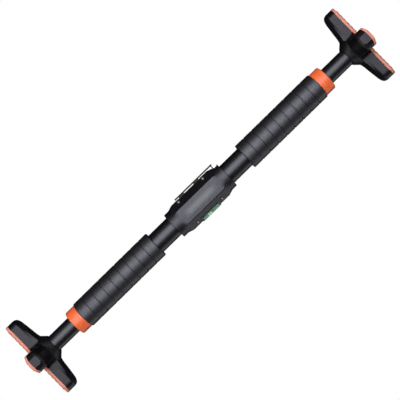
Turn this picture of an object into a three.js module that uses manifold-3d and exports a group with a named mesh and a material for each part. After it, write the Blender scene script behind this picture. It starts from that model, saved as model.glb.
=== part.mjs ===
// Telescopic doorway pull-up bar, in millimetres.
// +X runs along the bar, -Y is the front of the centre housing, +Z is the side of the lock lever.
// The origin is the middle of the bar's axis, and the legs are at their shortest.
import * as THREE from 'three';
import { mergeVertices } from 'three/addons/utils/BufferGeometryUtils.js';
import Module from 'manifold-3d';

const wasm = await Module();
wasm.setup();

// ---------------------------------------------------------------- driving dimensions

const PAD_FACE_X = 358.5; // each pad's face from the middle: the bar is 717 long
const GAP = 0.3; // clearance between pieces that touch
const ROUND = 32; // segments of a large circle
const FINE = 16; // segments of a small circle

const TUBE_R = 17.5; // outer tube, 35 across
const TUBE_WALL = 1.5;
const TUBE_END_X = 271;
const TUBE_BORE_R = TUBE_R - TUBE_WALL;
const LINER_R = TUBE_BORE_R - GAP; // whatever sits inside the outer tube

const LEG_R = 14; // inner tube, 28 across
const LEG_WALL = 1.5;
const LEG_INNER_X = 74;
const LEG_OUTER_X = 342.2;
const PLUG_R = LEG_R - LEG_WALL - GAP;

const COLLAR_X = 256.3;
const COLLAR_END_X = 274.8;
const COLLAR_R = 21.3;
const COLLAR_EDGE = 1.8;
const THREAD_BUSH_LENGTH = 30;

const GRIP_X = 97.5;
const GRIP_R = 22.9;

const KEY_SIZE = 8; // square key bar
const KEY_X = 12.3;
const KEY_END_X = 214;
const KEY_HOLE = KEY_SIZE + 2 * GAP;
const DRUM_R = 11.5;
const DRUM_X = 5;
const DRUM_END_X = 27;
const JOURNAL_R = 9;
const JOURNAL_END_X = 46;
const BEARING_X = 28;
const BEARING_END_X = 40;

const PAD_THICK = 4.2;
const ARM_REACH = 70; // tip of a pad's arm from the axis
const ARM_HALF = 16.8;
// How far the pad's face falls back, by the distance off an arm's middle and along the arm.
const CROWN = [[5, 0], [8, 0.5], [12, 1.85], [ARM_HALF, 4]];
const TIP_FALL = [[62, 0], [66, 0.7], [ARM_REACH, 2]];
const FOOT_X = 318.8;
const HUB_R = 25.4;
const FOOT_WEB_X = 342.5; // bottom of the socket that holds the inner tube
const BOLT_SEAT_X = 346;
const BOLT_R = 4;

const HOUSING_END_X = 57.5;
const NECK_R = 23;
const NECK_IN_X = 50; // the neck is round from here to the housing's end
const BELLY_X = 37; // the housing has its full section inside this
const BELLY_Z = 26;
const BELLY_FRONT = 24;
const SCREW_X = 26.2;
const SCREW_Z = 21.6;
const SCREW_R = 1.5;
const SCREW_SEAT_Y = -9.4;
const SCREW_HEAD_R = 2.2;
const SCREW_WELL_R = 3.4;

const BLOCK_X = 15.75; // brake blocks, one over each drum
const BLOCK_HALF = [5.7, 4.2];
const BLOCK_TOP_Z = 26.35;
const LOCK_PIN_Z = 24.2;
const LOCK_PIN_R = 1.2;
const HINGE_X = 52.4;
const HINGE_Z = 22;
const HINGE_PIN_R = 1.4;
const BRACKET_X = [50.2, 55.8];
const LEVER_X = [-28.5, 51.2];
const LEVER_Z = [27.05, 29.35];
const LEVER_HALF_WIDTH = 5.8;
const LEVER_LEG_X = [48.3, 49.6];

const VIAL_R = 4.4;
const VIAL_WALL = 1.2;
const VIAL_HALF = 16.6;
const VIAL_CAP_X = 18.8;
const VIAL_Y = -9.5;
const VIAL_Z = -23.1;
const BUBBLE_X = -3.2; // the bar in the photo is not level

// ---------------------------------------------------------------- materials

const finish = (color, roughness, metalness) =>
  new THREE.MeshStandardMaterial({ color, roughness, metalness });

const LOOK = {
  tubePaint: () => finish(0x2b2a2e, 0.38, 0.3),
  foam: () => finish(0x39383c, 0.9, 0),
  orangePlastic: () => finish(0xef6a2e, 0.45, 0),
  blackPlastic: () => finish(0x2e2d31, 0.5, 0),
  padRubber: () => finish(0xe8785f, 0.8, 0),
  steel: () => finish(0xa9abae, 0.35, 1),
  darkSteel: () => finish(0x35363a, 0.4, 0.9),
  whitePlastic: () => finish(0xd9d7cf, 0.55, 0),
  vialClear: () => finish(0x7fc79a, 0.1, 0),
  vialFluid: () => finish(0x3fae6a, 0.2, 0),
};

// ---------------------------------------------------------------- solids

// A closed three.js geometry as a solid, whichever way its faces wind.
function toSolid(geometry) {
  const bare = geometry.index ? geometry.toNonIndexed() : geometry.clone();
  bare.deleteAttribute('normal');
  bare.deleteAttribute('uv');
  const merged = mergeVertices(bare, 1e-4);
  const at = merged.getAttribute('position').array;
  const index = merged.index.array;
  const kept = [];
  let sixVolumes = 0;
  for (let i = 0; i < index.length; i += 3) {
    const [a, b, c] = [index[i], index[i + 1], index[i + 2]];
    if (a === b || b === c || c === a) continue;
    kept.push([a, b, c]);
    const [p, q, r] = [a, b, c].map((k) => new THREE.Vector3().fromArray(at, 3 * k));
    sixVolumes += p.dot(q.cross(r));
  }
  const faces = sixVolumes > 0 ? kept : kept.map(([a, b, c]) => [a, c, b]);
  const triVerts = Uint32Array.from(faces.flat());
  return new wasm.Manifold(new wasm.Mesh({ numProp: 3, vertProperties: Float32Array.from(at), triVerts }));
}

// A named mesh made from a solid.
function piece(name, solid, material) {
  const { vertProperties, triVerts } = solid.getMesh();
  const geometry = new THREE.BufferGeometry();
  geometry.setAttribute('position', new THREE.BufferAttribute(vertProperties, 3));
  geometry.setIndex(new THREE.BufferAttribute(triVerts, 1));
  const faceted = geometry.toNonIndexed();
  faceted.computeVertexNormals();
  const mesh = new THREE.Mesh(faceted, material);
  mesh.name = name;
  return mesh;
}

// A solid of revolution about X, from [radius, x] corners.
function turned(corners, segments = ROUND, closed = true) {
  const outline = corners.map(([r, x]) => new THREE.Vector2(r, x));
  if (closed) outline.push(outline[0].clone());
  return toSolid(new THREE.LatheGeometry(outline, segments).rotateZ(-Math.PI / 2));
}

const ring = (outer, inner, x0, x1, segments = ROUND) =>
  turned([[inner, x0], [outer, x0], [outer, x1], [inner, x1]], segments);

const disc = (radius, x0, x1, segments = ROUND) =>
  turned([[0, x0], [radius, x0], [radius, x1], [0, x1]], segments, false);

// A round bar along Y, centred on (x, y, z).
function crossBar(radius, length, x, y, z) {
  return toSolid(new THREE.CylinderGeometry(radius, radius, length, FINE).translate(x, y, z));
}

function box(x, y, z) {
  const block = new THREE.BoxGeometry(x[1] - x[0], y[1] - y[0], z[1] - z[0]);
  block.translate((x[0] + x[1]) / 2, (y[0] + y[1]) / 2, (z[0] + z[1]) / 2);
  return toSolid(block);
}

const span = (middle, half) => [middle - half, middle + half];

// A skin over rings of points that all have the same number of points, with flat ends.
// The ends are fans about each ring's middle, so each ring is star-shaped about its mean.
function loft(rings) {
  const count = rings[0].length;
  const at = rings.flat();
  const faces = [];
  for (let k = 0; k + 1 < rings.length; k += 1) {
    for (let i = 0; i < count; i += 1) {
      const [a, b] = [k * count + i, k * count + ((i + 1) % count)];
      faces.push(a, b, b + count, a, b + count, a + count);
    }
  }
  [0, rings.length - 1].forEach((k, end) => {
    const hub = at.length;
    at.push(rings[k].reduce((sum, p) => sum.map((v, i) => v + p[i] / count), [0, 0, 0]));
    for (let i = 0; i < count; i += 1) {
      const [a, b] = [k * count + i, k * count + ((i + 1) % count)];
      faces.push(hub, ...(end ? [a, b] : [b, a]));
    }
  });
  const geometry = new THREE.BufferGeometry();
  geometry.setAttribute('position', new THREE.Float32BufferAttribute(at.flat(), 3));
  geometry.setIndex(faces);
  return toSolid(geometry);
}

// ---------------------------------------------------------------- the four-armed foot

// Sole whose four crowned arms cross in the middle, with its top at topX and everything behind it filled.
function crownedSole(topX) {
  const bottomX = FOOT_X - 10;
  const beyond = 74;
  const wide = 32;
  const bar = () => {
    const across = [...CROWN, [wide, CROWN[3][1]]];
    const profile = [...across.map(([v, fall]) => [-v, fall]).reverse(), ...across];
    const along = [...TIP_FALL, [beyond, TIP_FALL[2][1]]];
    const stations = [...along.map(([u, fall]) => [-u, fall]).reverse(), ...along];
    return loft(stations.map(([u, tipFall]) => [
      [bottomX, -wide, u],
      ...profile.map(([v, fall]) => [topX - fall - tipFall, v, u]),
      [bottomX, wide, u],
    ]));
  };
  return bar().add(bar().rotate([90, 0, 0]));
}

// Block with the pad's outline: four arms with sloping shoulders and round inside corners.
function padOutline(x0, x1) {
  // Points of a shoulder: how far in from the arm's side, and how far back from its tip.
  const shoulder = [[3.4, 4], [1.5, 7], [0.5, 9.5], [0, 13]];
  const fillet = 6;
  const tip = 8;
  const turns = 4;
  const quarter = [[-tip, ARM_REACH], [tip, ARM_REACH]];
  quarter.push(...shoulder.map(([inset, back]) => [ARM_HALF - inset, ARM_REACH - back]));
  for (let i = 0; i <= turns; i += 1) {
    const angle = (i / turns) * (Math.PI / 2);
    quarter.push([
      ARM_HALF + fillet * (1 - Math.cos(angle)),
      ARM_HALF + fillet * (1 - Math.sin(angle)),
    ]);
  }
  quarter.push(...shoulder.map(([inset, back]) => [ARM_REACH - back, ARM_HALF - inset]).reverse());
  const points = [];
  for (let arm = 0; arm < 4; arm += 1) {
    const turn = (-arm * Math.PI) / 2;
    quarter.forEach(([u, v]) => {
      points.push([u * Math.cos(turn) - v * Math.sin(turn), u * Math.sin(turn) + v * Math.cos(turn)]);
    });
  }
  return loft([x0, x1].map((x) => points.map(([y, z]) => [x, y, z])));
}

// Sections of a foot's arm, from its root to its tip. The bend lies between the ridge and the side.
const ARM_SECTIONS = [
  { along: 16.6, half: 20.9, ridge: 7, ridgeX: 323.6, bendX: 329.6, creaseX: 334.6 },
  { along: 17.6, half: 18.8, ridge: 6.6, ridgeX: 325.4, bendX: 330.4, creaseX: 336.2 },
  { along: 19.4, half: 17.2, ridge: 6.2, ridgeX: 326.9, bendX: 331, creaseX: 337.4 },
  { along: 22.4, half: 16.4, ridge: 5.8, ridgeX: 327.7, bendX: 331.6, creaseX: 338 },
  { along: 26, half: 16.4, ridge: 5.5, ridgeX: 328.7, bendX: 332.2, creaseX: 338 },
  { along: 30, half: 16.4, ridge: 5.3, ridgeX: 329.5, bendX: 332.9, creaseX: 338.1 },
  { along: 36, half: 16.4, ridge: 5.1, ridgeX: 330.2, bendX: 333.6, creaseX: 338.1 },
  { along: 44, half: 16.4, ridge: 5, ridgeX: 331.1, bendX: 334.3, creaseX: 338.1 },
  { along: 48.5, half: 16.4, ridge: 5, ridgeX: 331.7, bendX: 336.5, creaseX: 338.2 },
  { along: 57, half: 16.4, ridge: 5, ridgeX: 332.8, bendX: 336.9, creaseX: 338.4 },
  { along: 60.5, half: 15.9, ridge: 5, ridgeX: 333.4, bendX: 337.3, creaseX: 338.8 },
  { along: 63, half: 14.9, ridge: 5, ridgeX: 334.2, bendX: 337.8, creaseX: 339.2 },
  { along: 65.3, half: 13, ridge: 5, ridgeX: 335.2, bendX: 338.4, creaseX: 339.7 },
  { along: 67.3, half: 10.6, ridge: 5, ridgeX: 336.5, bendX: 339.2, creaseX: 340.4 },
  { along: 69.8, half: 6.6, ridge: 4.6, ridgeX: 341, bendX: 342, creaseX: 342.6 },
];
const BEND_SHARE = 0.78;

function footSolid() {
  const arm = () => loft(ARM_SECTIONS.map(({ along, half, ridge, ridgeX, bendX, creaseX }) => {
    const bend = ridge + BEND_SHARE * (half - ridge);
    return [
      [PAD_FACE_X, -half, along],
      [creaseX, -half, along],
      [bendX, -bend, along],
      [ridgeX, -ridge, along],
      [ridgeX, ridge, along],
      [bendX, bend, along],
      [creaseX, half, along],
      [PAD_FACE_X, half, along],
    ];
  }));
  let foot = turned([
    [0, FOOT_X],
    [15, FOOT_X],
    [16.8, FOOT_X + 1.3],
    [HUB_R, FOOT_X + 10.6],
    [HUB_R, PAD_FACE_X],
    [0, PAD_FACE_X],
  ], ROUND, false);
  for (let quarter = 0; quarter < 4; quarter += 1) {
    foot = foot.add(arm().rotate([90 * quarter, 0, 0]));
  }
  const socket = disc(LEG_R + GAP, FOOT_WEB_X - 40, FOOT_WEB_X);
  const boltHole = disc(BOLT_R + 0.5, FOOT_WEB_X - 1, BOLT_SEAT_X + 1, FINE);
  const headRecess = disc(9.6, BOLT_SEAT_X, PAD_FACE_X + 1, FINE);
  const trimmed = foot.intersect(crownedSole(PAD_FACE_X - PAD_THICK - GAP));
  return trimmed.subtract(socket).subtract(boltHole).subtract(headRecess);
}

function padSolid() {
  const block = padOutline(FOOT_X, PAD_FACE_X + 1).intersect(crownedSole(PAD_FACE_X));
  return block.subtract(crownedSole(PAD_FACE_X - PAD_THICK));
}

// Socket-head bolt that pulls the foot onto the threaded plug in the inner tube.
function footBoltSolid() {
  const head = disc(6.5, BOLT_SEAT_X + 2.1, BOLT_SEAT_X + 7.2, FINE);
  const shank = disc(BOLT_R, 325, BOLT_SEAT_X + 2.2, FINE);
  const keySocket = disc(3.4, BOLT_SEAT_X + 4.2, BOLT_SEAT_X + 8, 6);
  return head.add(shank).subtract(keySocket);
}

// ---------------------------------------------------------------- leg: slides and turns as one

function leg(side) {
  const group = new THREE.Group();
  const tube = ring(LEG_R, LEG_R - LEG_WALL, LEG_INNER_X, LEG_OUTER_X);
  const bush = turned([
    [0, LEG_INNER_X - 4],
    [LEG_R - 0.3, LEG_INNER_X - 4],
    [LEG_R - 0.3, LEG_INNER_X - GAP],
    [PLUG_R, LEG_INNER_X - GAP],
    [PLUG_R, LEG_INNER_X + 18],
    [0, LEG_INNER_X + 18],
  ], ROUND, false);
  const keyHole = box([LEG_INNER_X - 5, LEG_INNER_X + 19], span(0, KEY_HOLE / 2), span(0, KEY_HOLE / 2));
  group.add(piece(`inner_tube_${side}`, tube, LOOK.tubePaint()));
  group.add(piece(`key_bush_${side}`, bush.subtract(keyHole), LOOK.whitePlastic()));
  group.add(piece(`tube_plug_${side}`, ring(PLUG_R, BOLT_R + GAP, 322, LEG_OUTER_X), LOOK.steel()));
  group.add(piece(`foot_${side}`, footSolid(), LOOK.blackPlastic()));
  const washer = ring(8.8, BOLT_R + 0.5, BOLT_SEAT_X + GAP, BOLT_SEAT_X + 1.8, FINE);
  group.add(piece(`foot_washer_${side}`, washer, LOOK.steel()));
  group.add(piece(`foot_bolt_${side}`, footBoltSolid(), LOOK.steel()));
  group.add(piece(`foot_pad_${side}`, padSolid(), LOOK.padRubber()));
  return group;
}

// ---------------------------------------------------------------- core: turns inside the outer tube

function core(side) {
  const group = new THREE.Group();
  const clipX = BEARING_END_X + 1.9;
  const clipWidth = 1.2;
  const body = turned([
    [0, DRUM_X],
    [DRUM_R, DRUM_X],
    [DRUM_R, DRUM_END_X],
    [JOURNAL_R, DRUM_END_X],
    [JOURNAL_R, clipX - GAP],
    [JOURNAL_R - 0.8, clipX - GAP],
    [JOURNAL_R - 0.8, clipX + clipWidth + GAP],
    [JOURNAL_R, clipX + clipWidth + GAP],
    [JOURNAL_R, JOURNAL_END_X],
    [0, JOURNAL_END_X],
  ], ROUND, false);
  const keyHole = box([KEY_X - GAP, JOURNAL_END_X + 1], span(0, KEY_HOLE / 2), span(0, KEY_HOLE / 2));
  const keyBar = box([KEY_X, KEY_END_X], span(0, KEY_SIZE / 2), span(0, KEY_SIZE / 2));
  const washer = ring(14, JOURNAL_R + GAP, BEARING_END_X + GAP, clipX - GAP);
  const clip = ring(11.4, JOURNAL_R - 0.5, clipX, clipX + clipWidth)
    .subtract(box([clipX - 1, clipX + 3], span(0, 3), [0, 15]));
  group.add(piece(`brake_drum_${side}`, body.subtract(keyHole), LOOK.steel()));
  group.add(piece(`key_bar_${side}`, keyBar, LOOK.steel()));
  group.add(piece(`thrust_washer_${side}`, washer, LOOK.steel()));
  group.add(piece(`circlip_${side}`, clip, LOOK.darkSteel()));
  return group;
}

// ---------------------------------------------------------------- barrel: what the hands turn

function barrelEnd(side) {
  const group = new THREE.Group();
  const bearing = ring(LINER_R, JOURNAL_R + GAP, BEARING_X, BEARING_END_X);
  const bushX = TUBE_END_X - THREAD_BUSH_LENGTH;
  const threadBush = ring(LINER_R, LEG_R + GAP, bushX, TUBE_END_X);
  const rounded = [0, 1, 2, 3].map((i) => {
    const angle = (i / 3) * (Math.PI / 2);
    return [
      COLLAR_R - COLLAR_EDGE * (1 - Math.cos(angle)),
      COLLAR_END_X - COLLAR_EDGE * (1 - Math.sin(angle)),
    ];
  });
  const collar = turned([
    [TUBE_R + GAP, COLLAR_X],
    [COLLAR_R, COLLAR_X],
    ...rounded,
    [LEG_R + 0.5, COLLAR_END_X],
    [LEG_R + 0.5, TUBE_END_X + GAP],
    [TUBE_R + GAP, TUBE_END_X + GAP],
  ]);
  group.add(piece(`bearing_${side}`, bearing, LOOK.whitePlastic()));
  group.add(piece(`thread_bush_${side}`, threadBush, LOOK.steel()));
  group.add(piece(`collar_${side}`, collar, LOOK.orangePlastic()));
  group.add(piece(`grip_${side}`, ring(GRIP_R, TUBE_R + GAP, GRIP_X, COLLAR_X - GAP), LOOK.foam()));
  return group;
}

function outerTubeSolid() {
  let tube = ring(TUBE_R, TUBE_BORE_R, -TUBE_END_X, TUBE_END_X);
  [-BLOCK_X, BLOCK_X].forEach((x) => {
    const slot = box(span(x, BLOCK_HALF[0] + GAP), span(0, BLOCK_HALF[1] + GAP), [0, TUBE_R + 1]);
    tube = tube.subtract(slot);
  });
  return tube;
}

// Half of the housing's section in front of its parting plane, as [y, z] from top to bottom.
// At the neck it is round, and in the belly it has a flat side, a slanted flank and a crowned front.
function housingHalfSection(x) {
  const creases = [[0, BELLY_Z], [-8, BELLY_Z], [-23.2, 13.2], [-23.8, 6.6], [-BELLY_FRONT, 0]];
  const steps = [2, 4, 2, 2];
  const quarter = [];
  steps.forEach((count, k) => {
    for (let i = 0; i < count; i += 1) {
      const t = i / count;
      quarter.push(creases[k].map((v, axis) => v + t * (creases[k + 1][axis] - v)));
    }
  });
  const belly = [...quarter, creases[4], ...quarter.map(([y, z]) => [y, -z]).reverse()];
  const t = THREE.MathUtils.smoothstep(-Math.abs(x), -NECK_IN_X, -BELLY_X);
  return belly.map(([y, z]) => {
    const toNeck = NECK_R / Math.hypot(y, z);
    const scale = t + (1 - t) * toNeck;
    return [y * scale, z * scale];
  });
}

// The whole front or rear half of the housing, solid, with its parting face half a gap from y = 0.
function housingHalf(facing) {
  const stations = [HOUSING_END_X, NECK_IN_X, 43.4, 40.6, 37.8, BELLY_X];
  const xs = [...stations.map((x) => -x), ...[...stations].reverse()];
  const rings = xs.map((x) => housingHalfSection(x).map(([y, z]) => [x, facing * Math.min(y, -GAP / 2), z]));
  return loft(rings);
}

function cover(facing) {
  let shell = housingHalf(facing).subtract(disc(TUBE_R + GAP, -60, 60));
  const guideWell = box(span(0, 23.3), span(0, 9), [16, 30]);
  const bracketWell = box([LEVER_LEG_X[0] - 0.9, BRACKET_X[1] + 0.4], span(0, 7.6), [16, 30]);
  shell = shell.subtract(guideWell).subtract(bracketWell);
  for (const x of [-SCREW_X, SCREW_X]) {
    for (const z of [-SCREW_Z, SCREW_Z]) {
      shell = shell.subtract(crossBar(SCREW_R + 0.4, 22.4, x, 0, z));
      if (facing > 0) {
        shell = shell.subtract(crossBar(SCREW_WELL_R, 16, x, SCREW_SEAT_Y - 8, z));
      }
    }
  }
  return shell;
}

// Pocket in the front cover's lower flank that holds the spirit level.
const vialPocket = () =>
  disc(VIAL_R + GAP, -VIAL_CAP_X - GAP, VIAL_CAP_X + GAP, FINE + 4).translate([0, VIAL_Y, VIAL_Z]);

function screwSolid() {
  const headLength = 1.9;
  const tipY = 10.2;
  const head = crossBar(SCREW_HEAD_R, headLength, 0, SCREW_SEAT_Y - GAP - headLength / 2, 0);
  const shankLength = tipY - SCREW_SEAT_Y + 1;
  const shank = crossBar(SCREW_R, shankLength, 0, tipY - shankLength / 2, 0);
  return head.add(shank);
}

function level() {
  const group = new THREE.Group();
  group.position.set(0, VIAL_Y, VIAL_Z);
  const bore = VIAL_R - VIAL_WALL;
  const bubbleShape = new THREE.SphereGeometry(1, 16, 10).scale(4.2, 1.7, 1.7);
  const bubble = toSolid(bubbleShape.translate(BUBBLE_X, 0, -bore + 0.2));
  const fluid = disc(bore - GAP, -VIAL_HALF + 2.3, VIAL_HALF - 2.3, FINE).subtract(bubble);
  group.add(piece('level_vial', ring(VIAL_R, bore, -VIAL_HALF, VIAL_HALF, FINE + 4), LOOK.vialClear()));
  group.add(piece('level_fluid', fluid, LOOK.vialFluid()));
  ['right', 'left'].forEach((side, turn) => {
    const cap = turned([
      [0, VIAL_HALF - 2],
      [bore - GAP, VIAL_HALF - 2],
      [bore - GAP, VIAL_HALF + GAP],
      [VIAL_R, VIAL_HALF + GAP],
      [VIAL_R, VIAL_CAP_X],
      [0, VIAL_CAP_X],
    ], FINE + 4, false);
    const plug = piece(`level_plug_${side}`, cap, LOOK.blackPlastic());
    plug.rotation.z = turn * Math.PI;
    group.add(plug);
  });
  return group;
}

// Frame under the lever with a window for each brake block.
function lockGuideSolid() {
  let frame = box(span(0, 23), span(0, 8.7), [TUBE_R + 0.7, BELLY_Z - 0.4]);
  [-BLOCK_X, BLOCK_X].forEach((x) => {
    frame = frame.subtract(box(span(x, BLOCK_HALF[0] + GAP), span(0, 6.6), [15, 30]));
  });
  return frame;
}

// Folded steel bracket that holds the lever's hinge pin.
function leverBracketSolid() {
  const outside = box(BRACKET_X, span(0, 6.8), [18, HINGE_Z + 2.6]);
  const between = box([50, 56], span(0, 5.6), [19, HINGE_Z + 5]);
  return outside.subtract(between).subtract(crossBar(HINGE_PIN_R + GAP, 20, HINGE_X, 0, HINGE_Z));
}

// Coil around the hinge pin, with one tail on the bracket and the other behind the lever's leg.
class LeverSpringPath extends THREE.Curve {
  getPoint(t, target = new THREE.Vector3()) {
    const coilR = 2;
    const coilLength = 2 * Math.PI * coilR * 2.25;
    const tail = 2.8;
    const run = t * (coilLength + 2 * tail) - tail;
    const along = THREE.MathUtils.clamp(run, 0, coilLength);
    const angle = along / coilR - Math.PI / 2;
    const lower = Math.min(0, run);
    const upper = Math.max(0, run - coilLength);
    const y = -4.85 + 2 * (along / coilLength);
    const x = HINGE_X - coilR * Math.cos(angle) - lower;
    return target.set(x, y, HINGE_Z + coilR * Math.sin(angle) + upper);
  }
}

function leverSpringSolid() {
  const wire = new THREE.Shape().absarc(0, 0, 0.35, 0, 2 * Math.PI);
  const path = new LeverSpringPath();
  return toSolid(new THREE.ExtrudeGeometry(wire, { curveSegments: 3, steps: 44, extrudePath: path }));
}

// ---------------------------------------------------------------- lock lever and brake blocks

function leverSolid() {
  const strip = box(LEVER_X, span(0, LEVER_HALF_WIDTH), LEVER_Z);
  const downLeg = box(LEVER_LEG_X, span(0, 6.6), [HINGE_Z - 1.7, LEVER_Z[0] + 0.2]);
  const shank = box([LEVER_LEG_X[0], HINGE_X], span(0, 2), span(HINGE_Z, 1.7));
  const eye = crossBar(2.7, 4, HINGE_X, 0, HINGE_Z);
  let lever = strip.add(downLeg).add(shank).add(eye);
  for (const x of [-BLOCK_X, BLOCK_X]) {
    for (const side of [-1, 1]) {
      const ear = box(span(x, 5.4), span(side * 5.2, 0.6), [LOCK_PIN_Z - 2.4, LEVER_Z[0] + 0.2]);
      lever = lever.add(ear);
    }
    lever = lever.subtract(crossBar(LOCK_PIN_R + GAP, 20, x, 0, LOCK_PIN_Z));
  }
  return lever.subtract(crossBar(HINGE_PIN_R + GAP, 20, HINGE_X, 0, HINGE_Z));
}

// Block whose hollow foot bears on the drum, with a slot for the pin that lifts it.
function brakeBlockSolid(x) {
  const blank = box(span(x, BLOCK_HALF[0]), span(0, BLOCK_HALF[1]), [8, BLOCK_TOP_Z]);
  const slot = box(span(x, LOCK_PIN_R + 0.9), span(0, 6), span(LOCK_PIN_Z, LOCK_PIN_R + GAP));
  return blank.subtract(disc(DRUM_R + GAP, x - 8, x + 8)).subtract(slot);
}

// ---------------------------------------------------------------- assembly

const bar = new THREE.Group();

bar.add(piece('outer_tube', outerTubeSolid(), LOOK.tubePaint()));
bar.add(piece('centre_spacer', disc(LINER_R, -3.5, 3.5), LOOK.whitePlastic()));
bar.add(piece('front_cover', cover(1).subtract(vialPocket()), LOOK.blackPlastic()));
bar.add(piece('rear_cover', cover(-1), LOOK.blackPlastic()));
bar.add(piece('lock_guide', lockGuideSolid(), LOOK.blackPlastic()));
bar.add(piece('lever_bracket', leverBracketSolid(), LOOK.steel()));
bar.add(piece('lever_spring', leverSpringSolid(), LOOK.steel()));
bar.add(piece('lever_hinge_pin', crossBar(HINGE_PIN_R, 14.4, HINGE_X, 0, HINGE_Z), LOOK.steel()));
bar.add(level());

let screwNumber = 0;
for (const x of [-SCREW_X, SCREW_X]) {
  for (const z of [-SCREW_Z, SCREW_Z]) {
    screwNumber += 1;
    const screw = piece(`cover_screw_${screwNumber}`, screwSolid(), LOOK.steel());
    screw.position.set(x, 0, z);
    bar.add(screw);
  }
}

bar.add(piece('lock_lever', leverSolid(), LOOK.darkSteel()));
['left', 'right'].forEach((side) => {
  const x = side === 'left' ? -BLOCK_X : BLOCK_X;
  bar.add(piece(`brake_block_${side}`, brakeBlockSolid(x), LOOK.blackPlastic()));
  bar.add(piece(`lock_pin_${side}`, crossBar(LOCK_PIN_R, 12.6, x, 0, LOCK_PIN_Z), LOOK.steel()));
});

['right', 'left'].forEach((side, turn) => {
  const end = new THREE.Group();
  end.add(leg(side), core(side), barrelEnd(side));
  end.rotation.z = turn * Math.PI;
  bar.add(end);
});

export default bar;
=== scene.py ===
"""Looks of a telescopic doorway pull-up bar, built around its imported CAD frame.

The frame's axes: +X runs along the bar, -Y is the front of the centre housing, +Z is the side of
the lock lever. Shapes are worked out in millimetres from the CAD nodes' boxes and scaled when a
mesh is made. What shows is rebuilt as finer meshes, each standing for its plain CAD solid. What
is hidden keeps its CAD solid, with softened edges.
"""
import math

import bmesh
import bpy
import numpy as np
from mathutils import Matrix, Vector


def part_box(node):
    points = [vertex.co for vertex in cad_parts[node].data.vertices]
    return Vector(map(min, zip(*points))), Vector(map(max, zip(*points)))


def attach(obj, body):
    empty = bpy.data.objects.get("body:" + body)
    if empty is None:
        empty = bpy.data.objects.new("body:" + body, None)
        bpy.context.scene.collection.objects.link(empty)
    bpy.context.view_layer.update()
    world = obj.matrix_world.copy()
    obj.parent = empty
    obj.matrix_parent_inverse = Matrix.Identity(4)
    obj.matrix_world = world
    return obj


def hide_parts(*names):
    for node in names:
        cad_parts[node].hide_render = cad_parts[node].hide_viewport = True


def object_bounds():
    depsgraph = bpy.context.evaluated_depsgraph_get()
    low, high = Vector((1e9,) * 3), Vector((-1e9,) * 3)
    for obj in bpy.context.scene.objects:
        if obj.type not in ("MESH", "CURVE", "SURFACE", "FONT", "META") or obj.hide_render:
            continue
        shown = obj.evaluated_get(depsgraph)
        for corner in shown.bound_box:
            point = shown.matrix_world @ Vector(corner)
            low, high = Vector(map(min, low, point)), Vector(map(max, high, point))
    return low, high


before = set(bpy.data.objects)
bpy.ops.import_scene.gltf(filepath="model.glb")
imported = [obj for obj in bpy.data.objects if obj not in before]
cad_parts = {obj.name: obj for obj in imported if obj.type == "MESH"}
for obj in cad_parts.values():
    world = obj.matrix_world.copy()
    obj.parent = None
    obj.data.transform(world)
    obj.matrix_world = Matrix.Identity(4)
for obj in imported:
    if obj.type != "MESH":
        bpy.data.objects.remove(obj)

cad_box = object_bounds()

MM = 0.001
TAU = 2 * math.pi
GAP = 0.3  # clearance between pieces that touch
SMOOTH_ANGLE = math.radians(32)
SIDES = {"left": -1, "right": 1}

# ---------------------------------------------------------------- measures of the frame


def reach(node):
    """Lowest and highest corner of a CAD node, in millimetres."""
    low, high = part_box(node)
    return np.array(low) / MM, np.array(high) / MM


def round_measures(node):
    """Near end, far end and radius of a round CAD node on the bar's axis, on the right side."""
    low, high = reach(node)
    return low[0], high[0], high[2]


TUBE_R = reach("outer_tube")[1][1]
TUBE_END_X = reach("outer_tube")[1][0]
LEG_X, LEG_END_X, LEG_R = round_measures("inner_tube_right")
GRIP_X, GRIP_END_X, GRIP_R = round_measures("grip_right")
COLLAR_X, COLLAR_END_X, COLLAR_R = round_measures("collar_right")
_, PAD_FACE_X, ARM_REACH = round_measures("foot_pad_right")
FOOT_X = round_measures("foot_right")[0]
BOLT_SEAT_X = round_measures("foot_washer_right")[0] - GAP
HOUSING_END_X = reach("front_cover")[1][0]
HOUSING_TOP_Z = reach("front_cover")[1][2]
HOUSING_FRONT_Y = -reach("front_cover")[0][1]

TUBE_WALL = 1.5
MARK_X = 3.2  # the spirit level's marks stand this far to both sides of its middle
BUBBLE_X = -MARK_X

# ---------------------------------------------------------------- meshes


def make_object(name, points, faces):
    """Mesh object from points in millimetres, with merged doubles and outward normals."""
    mesh = bpy.data.meshes.new(name)
    mesh.from_pydata((np.asarray(points) * MM).tolist(), [], faces)
    work = bmesh.new()
    work.from_mesh(mesh)
    bmesh.ops.remove_doubles(work, verts=work.verts, dist=1e-7)
    bmesh.ops.recalc_face_normals(work, faces=work.faces)
    work.to_mesh(mesh)
    work.free()
    made = bpy.data.objects.new(name, mesh)
    bpy.context.scene.collection.objects.link(made)
    return made


def skin(name, rows, wrap=False):
    """Closed surface through rows of points. Each row is a closed ring.

    The last row joins the first where wrap is true, and otherwise both end rings are filled.
    """
    rows = np.asarray(rows, float)
    count, around, _ = rows.shape
    faces = []
    for k in range(count if wrap else count - 1):
        below, above = k * around, ((k + 1) % count) * around
        for i in range(around):
            j = (i + 1) % around
            faces.append((below + i, below + j, above + j, above + i))
    if not wrap:
        faces.append(tuple(range(around)))
        faces.append(tuple(range((count - 1) * around, count * around)))
    return make_object(name, rows.reshape(-1, 3), faces)


def ring_of(x, radius, angles):
    """Ring of points about X. x and radius may each be one number or one per angle."""
    return np.stack([
        np.broadcast_to(x, angles.shape),
        radius * np.cos(angles),
        radius * np.sin(angles),
    ], axis=1)


def lathe(name, outline, segments=96):
    """Solid of revolution about X from (x, radius) points, open where it starts on the axis."""
    angles = np.arange(segments) * TAU / segments
    on_axis = outline[0][1] == 0
    rows = [ring_of(x, radius, angles) for x, radius in outline]
    return skin(name, rows, wrap=not on_axis)


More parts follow.
